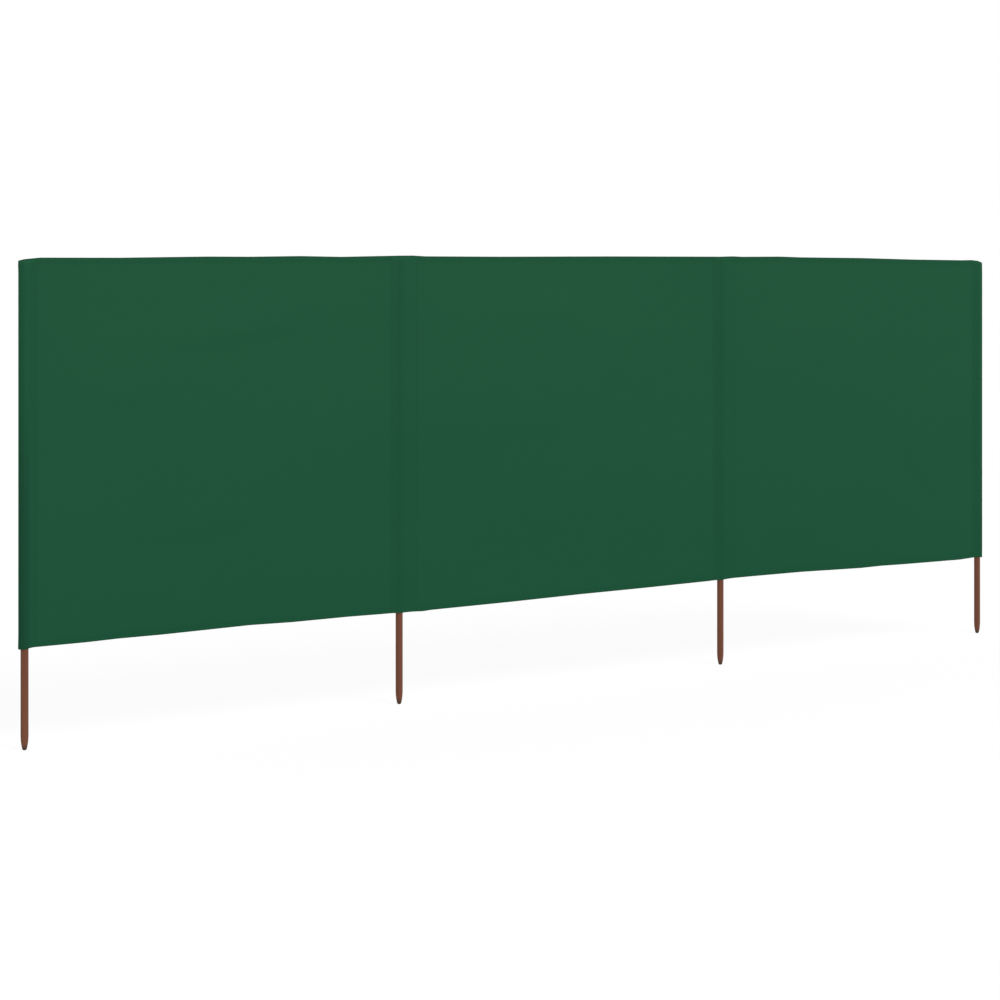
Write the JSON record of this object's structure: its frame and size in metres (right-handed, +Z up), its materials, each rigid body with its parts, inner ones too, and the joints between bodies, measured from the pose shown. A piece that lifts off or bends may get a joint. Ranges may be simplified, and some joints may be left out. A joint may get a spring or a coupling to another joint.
{
  "type": "beach windbreak",
  "caption": "Beach windbreak: a long green cloth in bays, held up by round wooden poles in sewn pockets, that folds at its inner poles.",
  "frame": {"origin": "the flat tip of the second pole from the left, seen from the front", "axes": "+X along the middle bay to the third pole, +Z up the poles, front face towards -Y"},
  "size_m": [4, 0.0286, 1.51],
  "materials": {
    "pole_wood": "matt stained softwood",
    "green_cloth": "matt woven cloth"
  },
  "bodies": {
    "middle_section": {"pole_2": "pole_wood", "pole_3": "pole_wood", "pocket_2": "green_cloth", "bay_2": "green_cloth", "top_hem_2": "green_cloth", "bottom_hem_2": "green_cloth"},
    "left_section": {"pole_1": "pole_wood", "pocket_1": "green_cloth", "bay_1": "green_cloth", "top_hem_1": "green_cloth", "bottom_hem_1": "green_cloth"},
    "right_section": {"pole_4": "pole_wood", "pocket_3": "green_cloth", "pocket_4": "green_cloth", "bay_3": "green_cloth", "top_hem_3": "green_cloth", "bottom_hem_3": "green_cloth"}
  },
  "joints": [
    {"name": "left_fold", "type": "hinge", "parent": "middle_section", "child": "left_section", "pos_m": [0, 0, 0], "axis": [0, 0, 1], "range_deg": [-90, 150]},
    {"name": "right_fold", "type": "hinge", "parent": "middle_section", "child": "right_section", "pos_m": [1.36, 0, 0], "axis": [0, 0, 1], "range_deg": [-90, 150]}
  ]
}
